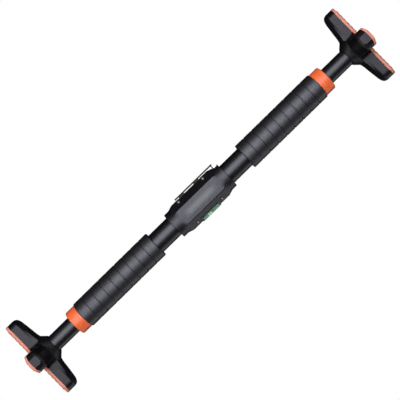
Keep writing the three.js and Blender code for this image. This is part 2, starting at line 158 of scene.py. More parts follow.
def rounded(corners, closed=True, step=math.radians(15), pieces=None):
    """Points along an outline of (a, b, radius) corners, with an arc at each corner that has one.

    Every arc has the given number of pieces, or pieces that each turn by about step.
    """
    points = []
    count = len(corners)
    for k, (a, b, radius) in enumerate(corners):
        corner = np.array((a, b), float)
        is_end = not closed and k in (0, count - 1)
        if radius == 0 or is_end:
            points.append(corner)
            continue
        before = np.array(corners[k - 1][:2], float) - corner
        after = np.array(corners[(k + 1) % count][:2], float) - corner
        before /= np.linalg.norm(before)
        after /= np.linalg.norm(after)
        turn = math.pi - math.acos(np.clip(before @ after, -1, 1))
        inset = radius * math.tan(turn / 2)
        count_here = pieces or max(2, round(turn / step))
        inward = (before + after) / np.linalg.norm(before + after)
        middle = corner + inward * math.hypot(radius, inset)
        start = corner + before * inset - middle
        end = corner + after * inset - middle
        for i in range(count_here + 1):
            angle = turn * i / count_here
            spoke = start * math.sin(turn - angle) + end * math.sin(angle)
            points.append(middle + spoke / math.sin(turn))
    return [tuple(p) for p in points]


def brick(name, x, y, z):
    """Box cutter between the given limits."""
    points = [(a, b, c) for a in x for b in y for c in z]
    faces = [(0, 1, 3, 2), (4, 6, 7, 5), (0, 4, 5, 1), (2, 3, 7, 6), (0, 2, 6, 4), (1, 5, 7, 3)]
    return make_object(name, points, faces)


def round_cutter(radius, x0, x1, segments=96):
    return lathe("cutter", [(x0, 0), (x0, radius), (x1, radius), (x1, 0)], segments)


def turn_to_y(obj, x, z):
    """Turns a solid that was made about X so that its +X end faces -Y, at (x, z)."""
    obj.data.transform(Matrix.Rotation(-math.pi / 2, 4, "Z"))
    obj.data.transform(Matrix.Translation((x * MM, 0, z * MM)))
    return obj


def apply_modifiers(obj):
    bpy.context.view_layer.update()
    evaluated = obj.evaluated_get(bpy.context.evaluated_depsgraph_get())
    mesh = bpy.data.meshes.new_from_object(evaluated)
    mesh.name = obj.name
    obj.modifiers.clear()
    obj.data = mesh


def combine(obj, others, operation):
    """Applies a boolean of obj with each of the other solids, and removes those."""
    for other in others:
        step = obj.modifiers.new("combine", "BOOLEAN")
        step.operation = operation
        step.solver = "EXACT"
        step.object = other
    apply_modifiers(obj)
    for other in others:
        bpy.data.objects.remove(other)
    return obj


def carve(obj, cutters):
    return combine(obj, cutters, "DIFFERENCE")


def half_turn(obj, side):
    """A piece made for the right end, turned about Z for the left one."""
    if side == "left":
        obj.data.transform(Matrix.Rotation(math.pi, 4, "Z"))
    return obj


def even_out(obj):
    """Lets large flat faces set the shading at their edges."""
    obj.modifiers.new("even_normals", "WEIGHTED_NORMAL").keep_sharp = True


def polish(node, look, edge=0.25):
    """Gives a CAD node a material and softened edges, without a change to its own vertices."""
    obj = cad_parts[node]
    custom = obj.data.attributes.get("custom_normal")
    if custom:
        obj.data.attributes.remove(custom)
    obj.data.shade_smooth()
    weld = obj.modifiers.new("weld", "WELD")
    weld.merge_threshold = 1e-6
    flat = obj.modifiers.new("flat_faces", "DECIMATE")
    flat.decimate_type = "DISSOLVE"
    flat.angle_limit = math.radians(1)
    bevel = obj.modifiers.new("soft_edges", "BEVEL")
    bevel.width = edge * MM
    bevel.segments = 2
    bevel.limit_method = "ANGLE"
    bevel.angle_limit = math.radians(35)
    obj.modifiers.new("even_normals", "WEIGHTED_NORMAL")
    obj.data.materials.clear()
    obj.data.materials.append(look)


# ---------------------------------------------------------------- materials


def add_node(tree, kind, inputs=None, **settings):
    """Shader node with its settings and inputs. An input is a value or another node's output."""
    made = tree.nodes.new(kind)
    for key, value in settings.items():
        setattr(made, key, value)
    for key, value in (inputs or {}).items():
        if isinstance(value, bpy.types.NodeSocket):
            tree.links.new(value, made.inputs[key])
        else:
            made.inputs[key].default_value = value
    return made


def noise_at(tree, size, detail=2.0, stretch=(1, 1, 1)):
    """Noise whose features measure about size millimetres, fixed to the piece."""
    place = add_node(tree, "ShaderNodeTexCoord").outputs["Object"]
    scaled = add_node(tree, "ShaderNodeMapping", {"Vector": place, "Scale": stretch})
    inputs = {"Vector": scaled.outputs["Vector"], "Scale": 1 / (size * MM), "Detail": detail}
    return add_node(tree, "ShaderNodeTexNoise", inputs).outputs["Fac"]


def cells_at(tree, size):
    """Distance to the nearest of scattered points about size millimetres apart."""
    place = add_node(tree, "ShaderNodeTexCoord").outputs["Object"]
    inputs = {"Vector": place, "Scale": 1 / (size * MM)}
    return add_node(tree, "ShaderNodeTexVoronoi", inputs).outputs["Distance"]


def place_along(tree, axis):
    """A point's place along one axis of the frame, in metres."""
    place = add_node(tree, "ShaderNodeTexCoord").outputs["Object"]
    return add_node(tree, "ShaderNodeSeparateXYZ", {"Vector": place}).outputs[axis]


def spread(tree, value, low, high):
    """Maps the middle of a noise's range onto low to high."""
    inputs = {"Value": value, "From Min": 0.3, "From Max": 0.7, "To Min": low, "To Max": high}
    return add_node(tree, "ShaderNodeMapRange", inputs).outputs["Result"]


def bump(tree, height, depth, under=None):
    """Bump whose full height is depth millimetres, on top of another bump if there is one."""
    inputs = {"Height": height, "Strength": 1.0, "Distance": depth * MM}
    if under:
        inputs["Normal"] = under
    return add_node(tree, "ShaderNodeBump", inputs).outputs["Normal"]


def new_look(name, fixed):
    """Material with constants on its shader's own sockets."""
    look = bpy.data.materials.new(name)
    look.use_nodes = True
    shader = look.node_tree.nodes["Principled BSDF"]
    for socket, value in fixed.items():
        shader.inputs[socket].default_value = value
    return look, look.node_tree, shader


def mottle(tree, shader, light, dark, size):
    """Base colour that drifts between two close shades over size millimetres."""
    factor = spread(tree, noise_at(tree, size, detail=3), 0, 1)
    mix = add_node(tree, "ShaderNodeMixRGB", {"Fac": factor, "Color1": (*dark, 1), "Color2": (*light, 1)})
    tree.links.new(mix.outputs["Color"], shader.inputs["Base Color"])


def rough_between(tree, shader, low, high, size):
    tree.links.new(spread(tree, noise_at(tree, size, detail=4), low, high), shader.inputs["Roughness"])


COOL_GLOSS = (0.86, 0.86, 1.0, 1)


def tube_paint_look():
    """Satin powder coat: a fine orange peel over black."""
    look, tree, shader = new_look("satin_powder_coat", {
        "Specular IOR Level": 0.62, "Specular Tint": COOL_GLOSS,
    })
    mottle(tree, shader, (0.0018, 0.0018, 0.002), (0.0012, 0.0012, 0.0014), 6)
    rough_between(tree, shader, 0.37, 0.43, 3)
    peel = bump(tree, noise_at(tree, 0.9), 0.002)
    tree.links.new(bump(tree, noise_at(tree, 0.25), 0.0005, peel), shader.inputs["Normal"])
    return look


def foam_look():
    """Closed-cell foam: fine pores and a dry surface."""
    look, tree, shader = new_look("charcoal_foam", {
        "Specular IOR Level": 0.8, "Specular Tint": COOL_GLOSS,
    })
    mottle(tree, shader, (0.0024, 0.0024, 0.0027), (0.0016, 0.0016, 0.0018), 2)
    rough_between(tree, shader, 0.46, 0.54, 4)
    pores = bump(tree, cells_at(tree, 0.7), 0.012)
    tree.links.new(bump(tree, noise_at(tree, 0.3, detail=4), 0.006, pores), shader.inputs["Normal"])
    return look


def black_plastic_look(name="grained_black_plastic", gloss=0.57, rough=0.42):
    """Moulded plastic with a fine spark-eroded grain: the look, its node tree and its shader."""
    look, tree, shader = new_look(name, {"Specular IOR Level": gloss, "Specular Tint": COOL_GLOSS})
    mottle(tree, shader, (0.0018, 0.0018, 0.002), (0.0012, 0.0012, 0.0014), 9)
    rough_between(tree, shader, rough, rough + 0.06, 5)
    grain = bump(tree, noise_at(tree, 0.35, detail=3), 0.004)
    tree.links.new(bump(tree, noise_at(tree, 8), 0.01, grain), shader.inputs["Normal"])
    return look, tree, shader


def faded(tree, coordinate, start, end):
    """1 where a coordinate's size is below start, and 0 beyond end, in millimetres."""
    size = add_node(tree, "ShaderNodeMath", {0: coordinate}, operation="ABSOLUTE")
    inputs = {"Value": size.outputs["Value"], "From Min": start * MM, "From Max": end * MM,
              "To Min": 1.0, "To Max": 0.0}
    return add_node(tree, "ShaderNodeMapRange", inputs, interpolation_type="SMOOTHSTEP").outputs["Result"]


def repaint(tree, shader, factor, shade):
    """Mixes another shade into the base colour."""
    under = shader.inputs["Base Color"].links[0].from_socket
    mix = add_node(tree, "ShaderNodeMixRGB", {"Fac": factor, "Color1": under, "Color2": (*shade, 1)})
    tree.links.new(mix.outputs["Color"], shader.inputs["Base Color"])


def front_shell_look():
    """The black plastic, with a long soft painted highlight: its base colour is made paler over the
    middle of the crown.
    """
    look, tree, shader = black_plastic_look("front_shell_plastic")
    fades = {0: faded(tree, place_along(tree, "X"), 20, 36), 1: faded(tree, place_along(tree, "Z"), 1, 8)}
    painted_highlight = add_node(tree, "ShaderNodeMath", fades, operation="MULTIPLY")
    # Painted highlight: a paler base colour in a long soft patch over the middle of the crown.
    repaint(tree, shader, painted_highlight.outputs["Value"], (0.055, 0.055, 0.058))
    return look


def orange_plastic_look():
    look, tree, shader = new_look("orange_plastic", {
        "Specular IOR Level": 0.42, "Subsurface Weight": 0.06,
        "Subsurface Radius": (0.003, 0.001, 0.0005), "Subsurface Scale": 1.0,
    })
    mottle(tree, shader, (0.61, 0.107, 0.03), (0.57, 0.095, 0.026), 10)
    rough_between(tree, shader, 0.36, 0.44, 5)
    tree.links.new(bump(tree, noise_at(tree, 0.4, detail=3), 0.002), shader.inputs["Normal"])
    return look


def pad_rubber_look():
    look, tree, shader = new_look("salmon_rubber", {
        "Specular IOR Level": 0.4, "Subsurface Weight": 0.1, "Subsurface Radius": (0.004, 0.0015, 0.001),
        "Subsurface Scale": 1.0,
    })
    mottle(tree, shader, (0.49, 0.18, 0.13), (0.44, 0.155, 0.11), 5)
    rough_between(tree, shader, 0.6, 0.72, 3)
    dust = bump(tree, noise_at(tree, 0.3, detail=4), 0.02)
    tree.links.new(dust, shader.inputs["Normal"])
    return look


def steel_look():
    """Zinc plate with faint drawn lines."""
    look, tree, shader = new_look("zinc_steel", {"Metallic": 1.0})
    mottle(tree, shader, (0.68, 0.68, 0.70), (0.56, 0.56, 0.585), 2)
    rough_between(tree, shader, 0.2, 0.32, 1)
    lines = noise_at(tree, 0.4, detail=3, stretch=(0.08, 1, 1))
    tree.links.new(bump(tree, lines, 0.003), shader.inputs["Normal"])
    return look


def screw_steel_look():
    """Passivated screw steel, darker than the bracket's plate."""
    look, tree, shader = new_look("screw_steel", {"Metallic": 1.0})
    mottle(tree, shader, (0.16, 0.16, 0.165), (0.12, 0.12, 0.125), 1)
    rough_between(tree, shader, 0.36, 0.46, 1)
    tree.links.new(bump(tree, noise_at(tree, 0.4, detail=3), 0.003), shader.inputs["Normal"])
    return look


def dark_steel_look():
    """Black oxide on spring steel."""
    look, tree, shader = new_look("black_spring_steel", {"Specular IOR Level": 0.12})
    mottle(tree, shader, (0.006, 0.006, 0.0065), (0.004, 0.004, 0.0044), 3)
    rough_between(tree, shader, 0.42, 0.52, 2)
    tree.links.new(bump(tree, noise_at(tree, 0.5, detail=3), 0.003), shader.inputs["Normal"])
    return look


def white_plastic_look():
    look, tree, shader = new_look("acetal", {"Subsurface Weight": 0.1, "Subsurface Scale": 0.002})
    mottle(tree, shader, (0.72, 0.71, 0.66), (0.67, 0.66, 0.6), 6)
    rough_between(tree, shader, 0.38, 0.5, 3)
    tree.links.new(bump(tree, noise_at(tree, 0.5), 0.004), shader.inputs["Normal"])
    return look


def shade_inner_side(tree, shader):
    """Darkens the side of the spirit level that lies in the housing's shade."""
    shaded = faded(tree, place_along(tree, "Z"), 22.4, 25.4)
    repaint(tree, shader, shaded, (0.008, 0.02, 0.011))


def vial_look():
    """Clear tube with a green tint, paler over the bubble: partly the bubble's own lighter look, partly a
    painted highlight for its glints.
    """
    look, tree, shader = new_look("green_clear_tube", {
        "Alpha": 0.75, "IOR": 1.49, "Specular IOR Level": 0.3,
    })
    mottle(tree, shader, (0.12, 0.32, 0.18), (0.10, 0.27, 0.15), 8)
    terms = {0: place_along(tree, "X"), 1: BUBBLE_X * MM}
    from_bubble = add_node(tree, "ShaderNodeMath", terms, operation="SUBTRACT").outputs["Value"]
    # Paler over the bubble: partly the bubble's lighter look through the tube, partly a painted highlight
    # standing in for the bubble's glints.
    repaint(tree, shader, faded(tree, from_bubble, 2.2, 3.8), (0.42, 0.72, 0.5))
    shade_inner_side(tree, shader)
    rough_between(tree, shader, 0.24, 0.3, 4)
    tree.links.new(bump(tree, noise_at(tree, 3), 0.004), shader.inputs["Normal"])
    return look


def fluid_look():
    look, tree, shader = new_look("green_level_fluid", {"Alpha": 0.8, "IOR": 1.36})
    mottle(tree, shader, (0.06, 0.24, 0.12), (0.05, 0.2, 0.1), 6)
    shade_inner_side(tree, shader)
    rough_between(tree, shader, 0.08, 0.14, 3)
    tree.links.new(bump(tree, noise_at(tree, 2), 0.004), shader.inputs["Normal"])
    return look


LOOKS = {
    "tube_paint": tube_paint_look(),
    "foam": foam_look(),
    "orange_plastic": orange_plastic_look(),
    "black_plastic": black_plastic_look()[0],
    "pad_rubber": pad_rubber_look(),
    "steel": steel_look(),
    "dark_steel": dark_steel_look(),
    "white_plastic": white_plastic_look(),
    "vial_clear": vial_look(),
    "vial_fluid": fluid_look(),
}
SCREW_LOOK = screw_steel_look()
FRONT_SHELL_LOOK = front_shell_look()
FOOT_LOOK = black_plastic_look("foot_plastic", gloss=0.36, rough=0.4)[0]


def dress(obj, body, slot, *nodes, look=None):
    """Gives a piece its shading and material and the body that it rides on, and hides the CAD nodes that
    it stands for.
    """
    obj.data.shade_smooth()
    obj.data.set_sharp_from_angle(angle=SMOOTH_ANGLE)
    obj.data.materials.clear()
    obj.data.materials.append(look or LOOKS[slot])
    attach(obj, body)
    if nodes:
        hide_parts(*nodes)


# ---------------------------------------------------------------- grips, collars and tubes

GRIP_GROOVES = 8
GROOVE_HALF = 0.9
GROOVE_DEPTH = 0.8


def foam_grip(side):
    """Foam sleeve with evenly spaced narrow grooves and rounded ends."""
    bore = TUBE_R + GAP
    corners = [(GRIP_X, bore, 0), (GRIP_X, GRIP_R, 1.0)]
    pitch = (GRIP_END_X - GRIP_X) / (GRIP_GROOVES + 1)
    for k in range(1, GRIP_GROOVES + 1):
        middle = GRIP_X + k * pitch
        for offset, radius, bend in (
            (-GROOVE_HALF, GRIP_R, 0.35),
            (-GROOVE_HALF * 0.4, GRIP_R - GROOVE_DEPTH, 0.2),
            (GROOVE_HALF * 0.4, GRIP_R - GROOVE_DEPTH, 0.2),
            (GROOVE_HALF, GRIP_R, 0.35),
        ):
            corners.append((middle + offset, radius, bend))
    corners += [(GRIP_END_X, GRIP_R, 1.0), (GRIP_END_X, bore, 0)]
    grip = half_turn(lathe(f"foam_grip_{side}", rounded(corners)), side)
    dress(grip, "barrel", "foam", f"grip_{side}")


def end_collar(side):
    """Orange cap that closes the outer tube's end around the inner tube."""
    lip = 0.5  # its hole is this much larger than the inner tube
    shoulder_x = TUBE_END_X + GAP
    outline = rounded([
        (COLLAR_X, TUBE_R + GAP, 0),
        (COLLAR_X, COLLAR_R, 0.5),
        (COLLAR_END_X, COLLAR_R, 1.8),
        (COLLAR_END_X, LEG_R + lip, 0.6),
        (shoulder_x, LEG_R + lip, 0),
        (shoulder_x, TUBE_R + GAP, 0),
    ])
    collar = half_turn(lathe(f"orange_collar_{side}", outline), side)
    dress(collar, "barrel", "orange_plastic", f"collar_{side}")


def outer_tube():
    """Middle tube, with a slot over each brake drum."""
    bore = TUBE_R - TUBE_WALL
    outline = rounded([
        (-TUBE_END_X, bore, 0.3),
        (-TUBE_END_X, TUBE_R, 0.5),
        (TUBE_END_X, TUBE_R, 0.5),
        (TUBE_END_X, bore, 0.3),
    ])
    tube = lathe("painted_outer_tube", outline, 128)
    cutters = []
    for side in SIDES:
        low, high = reach(f"brake_block_{side}")
        x = (low[0] - GAP, high[0] + GAP)
        y = (low[1] - GAP, high[1] + GAP)
        cutters.append(brick("cutter", x, y, (0, TUBE_R + 1)))
    dress(carve(tube, cutters), "barrel", "tube_paint", "outer_tube")


THREAD_LEAD = 5.0
THREAD_DEPTH = 0.6
THREAD_X = (80, 250)  # all of it is hidden at rest
RINGS_PER_TURN = 12


def inner_tube(side):
    """Leg tube with a rounded thread on its hidden length. The left one's thread is left-handed."""
    angles = np.arange(72) * TAU / 72
    bore = LEG_R - TUBE_WALL
    end_edge = 0.4
    hand = SIDES[side]
    start, end = THREAD_X
    threaded = np.arange(start, end, THREAD_LEAD / RINGS_PER_TURN)
    plain_end = [end + 2, LEG_END_X - end_edge, LEG_END_X]
    stations = [LEG_X, LEG_X + end_edge, start - 2, *threaded, *plain_end]
    rows = []
    for x in stations:
        turn = (x - hand * THREAD_LEAD * angles / TAU) * TAU / THREAD_LEAD
        valley = 0.5 + 0.5 * np.tanh(2.2 * np.cos(turn)) / math.tanh(2.2)
        fade = np.clip(min(x - start, end - x) / THREAD_LEAD, 0, 1)
        edge = end_edge if x in (LEG_X, LEG_END_X) else 0
        rows.append(ring_of(x, LEG_R - edge - THREAD_DEPTH * fade * valley, angles))
    rows += [ring_of(LEG_END_X, bore, angles), ring_of(LEG_X, bore, angles)]
    tube = half_turn(skin(f"threaded_inner_tube_{side}", rows, wrap=True), side)
    dress(tube, f"leg_{side}", "tube_paint", f"inner_tube_{side}")


# ---------------------------------------------------------------- four-armed feet and their pads

PAD_THICK = 4.2
ARM_HALF = 16.8  # half width of the pad's arms
TIP_HALF = 8  # half width of the straight end of an arm
TIP_CORNER = [(-1.2, 0), (-0.3, 0.12), (0.8, 0.75)]  # how far past TIP_HALF, and how far back
PLASTIC_HALF = 16.4  # half width of the foot's arms above the pad
# Points of a shoulder: how far in from an arm's side, and how far back from its tip.
SHOULDER = [(3.4, 4), (2.3, 5.4), (1.5, 7), (0.9, 8.3), (0.5, 9.5), (0.2, 11), (0, 13)]
CORNER_FILLET = 6
CROWN = (5, 4.0)  # half width of an arm's level strip, and the fall from there to the arm's side
TIP_FALL = (62, 2.0)  # where an arm's end starts to fall back, and how far it falls at the tip
# The hub's outline, as how far behind its inner end and the radius.
HUB_R = 25.4
HUB_CONE = [(0, 15, 0.5), (1.3, 16.8, 1.0), (10.6, HUB_R, 1.5)]
ROOT_FILLET = 6  # between an arm and the hub
BOLT_HOLE_R = 4.5
BOLT_RECESS_R = 9.6


def fall_back(y, z):
    """How far the crossing crowned arms of the sole lie behind its middle."""
    level, drop = CROWN
    off_axis = np.clip(np.minimum(np.abs(y), np.abs(z)), level, ARM_HALF)
    along = np.maximum(np.abs(y), np.abs(z))
    start, tip_drop = TIP_FALL
    at_tip = np.clip((along - start) / (ARM_REACH - start), 0, 1) ** 1.5
    return drop * ((off_axis - level) / (ARM_HALF - level)) ** 1.5 + tip_drop * at_tip


def pad_outline():
    """Outline of the cross that the four arms make, as (y, z) rows."""
    root = ARM_HALF + CORNER_FILLET
    arc = np.linspace(0, math.pi / 2, 11)
    side_z = np.linspace(ARM_REACH - SHOULDER[-1][1], root, 10)
    eighth = [(0, ARM_REACH)]
    eighth += [(TIP_HALF + out, ARM_REACH - back) for out, back in TIP_CORNER]
    eighth += [(ARM_HALF - inset, ARM_REACH - back) for inset, back in SHOULDER]
    eighth += [(ARM_HALF, z) for z in side_z[1:-1]]
    eighth += [(root - CORNER_FILLET * math.cos(a), root - CORNER_FILLET * math.sin(a)) for a in arc]
    mirrored = [(b, a) for a, b in reversed(eighth)]
    quarter = np.array(eighth + mirrored[:-1])
    turned = []
    for number in range(4):
        turn = -number * math.pi / 2
        spin = np.array([[math.cos(turn), -math.sin(turn)], [math.sin(turn), math.cos(turn)]])
        turned.append(quarter @ spin.T)
    return np.concatenate(turned)


# Along an arm: distance from the axis, half width, half width of the ridge, the ridge's x, the x
# of the bend where the slope from the ridge turns steep, and the x of the crease at the side.
ARM_STATIONS = [
    (26, 16.4, 5.5, 328.7, 332.2, 338.0),
    (30, 16.4, 5.3, 329.5, 332.9, 338.1),
    (33, 16.4, 5.2, 329.9, 333.3, 338.1),
    (36, 16.4, 5.1, 330.2, 333.6, 338.1),
    (40, 16.4, 5.0, 330.6, 334.0, 338.1),
    (44, 16.4, 5.0, 331.1, 334.3, 338.1),
    (48.5, 16.4, 5.0, 331.7, 336.5, 338.2),
    (57, 16.4, 5.0, 332.8, 336.9, 338.4),
    (59, 16.2, 5.0, 333.1, 337.1, 338.6),
    (60.5, 15.9, 5.0, 333.4, 337.3, 338.8),
    (61.7, 15.5, 5.0, 333.8, 337.5, 339.0),
    (63, 14.9, 5.0, 334.2, 337.8, 339.2),
    (64.2, 14.1, 5.0, 334.7, 338.1, 339.4),
    (65.5, 12.9, 5.0, 335.3, 338.5, 339.7),
    (67.3, 10.6, 5.0, 336.5, 339.2, 340.4),
    (68.7, 8.6, 4.9, 338.2, 340.3, 341.3),
    (69.4, 7.4, 4.8, 339.6, 341.2, 341.9),
    (69.8, 6.6, 4.6, 341.0, 342.0, 342.6),
]
BEND_SHARE = 0.78  # where the bend lies, on the way from the ridge to the side
DRAFT = 0.15  # how much less wide an arm is at its crease than at its base, on each side
RIDGE_ROUND, BEND_ROUND, CREASE_ROUND = 1.2, 0.3, 0.5


def arm_root_stations():
    """Stations between the hub and the first one above, where the arm flares in a hollow curve."""
    ridge, ridge_x, bend_x, crease_x = 5.8, 327.7, 331.6, 338
    made = []
    for out in (0.2, 0.5, 1.0, 1.7, 2.6, 4.0, 6.0):
        flare = ROOT_FILLET - math.sqrt(ROOT_FILLET ** 2 - (ROOT_FILLET - out) ** 2)
        widths = (PLASTIC_HALF + flare, ridge + 0.3 * flare)
        depths = (ridge_x - flare, bend_x - 0.4 * flare, crease_x - 0.7 * flare)
        made.append((PLASTIC_HALF + out, *widths, *depths))
    return made


def foot_arm(turn):
    """One arm of the foot, turned by so many quarter turns, with its base left long."""
    long_base = PAD_FACE_X  # the sole's shape is cut from it later
    rows = []
    for along, half, ridge, ridge_x, bend_x, crease_x in arm_root_stations() + ARM_STATIONS:
        bend = ridge + BEND_SHARE * (half - ridge)
        profile = [
            (half, long_base, 0), (half - DRAFT, crease_x, CREASE_ROUND),
            (bend, bend_x, BEND_ROUND), (ridge, ridge_x, RIDGE_ROUND),
        ]
        mirrored = [(-across, x, bend_radius) for across, x, bend_radius in profile]
        section = rounded(mirrored + profile[::-1], closed=False, pieces=4)
        rows.append([(x, across, along) for across, x in section])
    arm = skin("cutter", rows)
    arm.data.transform(Matrix.Rotation(turn * math.pi / 2, 4, "X"))
    return arm


def sole_filler():
    """Everything behind the pad, a gap away from it, out to beyond the foot's outline."""
    wider = 1.12
    edge = pad_outline() * wider
    base_x = PAD_FACE_X - PAD_THICK - GAP
    rows = [np.column_stack([np.full(len(edge), FOOT_X - 10), edge])]
    for share in np.linspace(1, 0.02, 26):
        outline = edge * share
        rows.append(np.column_stack([base_x - fall_back(*outline.T), outline]))
    return skin("cutter", rows)


def four_arm_foot(side):
    """Foot with upright arm sides that slope to a ridge, around a hub with a cone."""
    cone = [(FOOT_X + behind, radius, bend) for behind, radius, bend in HUB_CONE]
    foot = lathe(f"four_arm_foot_{side}", rounded([
        (FOOT_X, 0, 0), *cone, (PAD_FACE_X, HUB_R, 0), (PAD_FACE_X, 0, 0),
    ], closed=False))
    combine(foot, [foot_arm(turn) for turn in range(4)], "UNION")
    combine(foot, [sole_filler()], "INTERSECT")
    socket_floor = LEG_END_X + GAP
    foot = half_turn(carve(foot, [
        round_cutter(LEG_R + GAP, FOOT_X - 1, socket_floor),
        round_cutter(BOLT_HOLE_R, socket_floor - 1, BOLT_SEAT_X + 1, 48),
        round_cutter(BOLT_RECESS_R, BOLT_SEAT_X, PAD_FACE_X + 1, 64),
    ]), side)
    dress(foot, f"leg_{side}", "black_plastic", f"foot_{side}", look=FOOT_LOOK)
    even_out(foot)


RIB_PITCH = 8.0
RIB_DEPTH = 0.7


def pad_face_x(outline):
    """Height of the pad's ribbed face. The ribs cross each arm."""
    along = np.abs(outline).max(axis=1)
    rib = RIB_DEPTH * (0.5 + 0.5 * np.cos(along * TAU / RIB_PITCH))
    return PAD_FACE_X - rib - fall_back(*outline.T)


def ribbed_pad(side):
    """Rubber sole with crowned arms and ribs."""
    edge = pad_outline()
    lengths = np.hypot(edge[:, 0], edge[:, 1])[:, None]
    rim = 0.9  # radius of the edge around the face
    back_edge = 0.4
    back_x = PAD_FACE_X - PAD_THICK
    rows = []
    for share in np.linspace(0, 1, 30):
        outline = edge * (1 - back_edge / lengths) * share
        rows.append(np.column_stack([back_x - fall_back(*outline.T), outline]))
    rows.append(np.column_stack([back_x + back_edge - fall_back(*edge.T), edge]))
    for angle in np.linspace(0, math.pi / 2, 5):
        inset = rim * (1 - math.cos(angle))
        outline = edge * (1 - inset / lengths)
        rows.append(np.column_stack([pad_face_x(outline) - rim * (1 - math.sin(angle)), outline]))
    for share in np.linspace(1, 0, 72)[1:]:
        outline = edge * (1 - rim / lengths) * share
        rows.append(np.column_stack([pad_face_x(outline), outline]))
    pad = half_turn(skin(f"ribbed_pad_{side}", rows), side)
    dress(pad, f"leg_{side}", "pad_rubber", f"foot_pad_{side}")


# ---------------------------------------------------------------- centre housing

NECK_R = 23.0
NECK_X = 50  # the housing is round from here to its end
BELLY_X = 37  # it has its full section inside this
CREASE_Z = 13.2
CREASE_Y = 23.5
CREASE_BEND = 2.2
FLAT_HALF = 8  # half width of the flat top
FLAT_BEND = 2.5


def housing_quarter():
    """Belly section from the flat top to the middle of the crowned front, as (y, z)."""
    z = np.linspace(CREASE_Z, 0, 12)[1:]
    crown = [(-HOUSING_FRONT_Y + (HOUSING_FRONT_Y - CREASE_Y) * (v / CREASE_Z) ** 2, v, 0) for v in z]
    outline = np.array(rounded([
        (0, HOUSING_TOP_Z, 0), (-FLAT_HALF, HOUSING_TOP_Z, FLAT_BEND), (-CREASE_Y, CREASE_Z, CREASE_BEND),
        *crown,
    ], closed=False, step=math.radians(8)))
    longest = 1.5
    made = [outline[0]]
    for before, after in zip(outline, outline[1:]):
        pieces = max(1, round(np.linalg.norm(after - before) / longest))
        made += [before + (after - before) * (i + 1) / pieces for i in range(pieces)]
    return np.array(made)


def housing_rows(facing):
    """Rings of the front half, or of the rear half where facing is -1."""
    quarter = housing_quarter()
    belly = np.concatenate([quarter, quarter[-2::-1] * (1, -1)])
    to_neck = NECK_R / np.hypot(belly[:, 0], belly[:, 1])[:, None]
    edge = 0.8
    inner = np.linspace(-BELLY_X, BELLY_X, 25)
    blend = np.linspace(BELLY_X, NECK_X, 15)[1:]
    rim = [HOUSING_END_X - edge, HOUSING_END_X - edge / 3, HOUSING_END_X]
    outer = [*blend, (NECK_X + HOUSING_END_X) / 2, *rim]
    rows = []
    for x in [*(-v for v in reversed(outer)), *inner, *outer]:
        share = np.clip((NECK_X - abs(x)) / (NECK_X - BELLY_X), 0, 1)
        share = share * share * (3 - 2 * share)
        section = belly * (share + (1 - share) * to_neck)
        over = max(0, (abs(x) - (HOUSING_END_X - edge)) / edge)
        section = section * (1 - edge * (1 - math.sqrt(1 - over ** 2)) / NECK_R)
        y = facing * np.minimum(section[:, 0], -GAP / 2)
        rows.append(np.column_stack([np.full(len(y), x), y, section[:, 1]]))
    return rows


SCREW_HEAD = 1.9  # height of a screw's head
SCREW_R = 1.5
SCREW_HOLE_R = 1.9
SCREW_WELL_R = 2.8


def screw_cutters(number, facing):
    """Hole for a screw, and in the front shell a well for its head."""
    low, high = reach(f"cover_screw_{number}")
    x, _, z = (low + high) / 2
    seat = -low[1] - SCREW_HEAD - GAP
    cutters = [turn_to_y(round_cutter(SCREW_HOLE_R, -high[1] - 1, seat + 1, 32), x, z)]
    if facing > 0:
        cutters.append(turn_to_y(round_cutter(SCREW_WELL_R, seat, HOUSING_FRONT_Y + 1, 48), x, z))
    return cutters


def housing_shell(facing):
    """Front or rear shell, cut for the tube, the lock, the screws and the spirit level."""
    name, node = ("front_shell", "front_cover") if facing > 0 else ("rear_shell", "rear_cover")
    shell = skin(name, housing_rows(facing))
    guide_low, guide_high = reach("lock_guide")
    guide_x = (guide_low[0] - GAP, guide_high[0] + GAP)
    guide_y = (guide_low[1] - GAP, guide_high[1] + GAP)
    bracket_low, bracket_high = reach("lever_bracket")
    leg_room = 2.8  # the lever's leg stands beside the bracket
    bracket_x = (bracket_low[0] - leg_room, bracket_high[0] + 0.4)
    bracket_y = (bracket_low[1] - 0.8, bracket_high[1] + 0.8)
    cut_z = (16, 30)  # from inside the tube to above the housing
    cutters = [
        round_cutter(TUBE_R + GAP, -HOUSING_END_X - 2, HOUSING_END_X + 2, 128),
        brick("cutter", guide_x, guide_y, cut_z),
        brick("cutter", bracket_x, bracket_y, cut_z),
    ]
    for number in range(1, 5):
        cutters += screw_cutters(number, facing)
    if facing > 0:
        low, high = reach("level_vial")
        middle = (low + high) / 2
        end_x = reach("level_plug_right")[1][0] + GAP
        pocket = round_cutter((high[2] - low[2]) / 2 + GAP, -end_x, end_x, 64)
        pocket.data.transform(Matrix.Translation((0, middle[1] * MM, middle[2] * MM)))
        cutters.append(pocket)
    look = FRONT_SHELL_LOOK if facing > 0 else None
    dress(carve(shell, cutters), "barrel", "black_plastic", node, look=look)


def cross_screw(number):
    """Pan-head screw with a cross recess, driven in from the front."""
    node = f"cover_screw_{number}"
    low, high = reach(node)
    middle = (low + high) / 2
    head = (high[0] - low[0]) / 2
    front, back = -low[1], -high[1]
    seat = front - SCREW_HEAD
    outline = rounded([
        (back, 0, 0), (back, 1.1, 0), (back + 1, SCREW_R, 0), (seat, SCREW_R, 0.2),
        (seat, head, 0.2), (front - 0.7, head, 0.5), (front, head * 0.5, 1.2), (front, 0, 0),
    ], closed=False)
    screw = lathe(f"cross_screw_{number}", outline, 48)
    depth = (front - 0.9, front + 1)
    narrow, long = (-0.34, 0.34), (-1.3, 1.3)
    recess = [brick("cutter", depth, narrow, long), brick("cutter", depth, long, narrow)]
    turn_to_y(carve(screw, recess), middle[0], middle[2])
    dress(screw, "barrel", "steel", node, look=SCREW_LOOK)


VIAL_WALL = 1.2
BUBBLE_HALF = 4.2  # half length
BUBBLE_R = 1.7


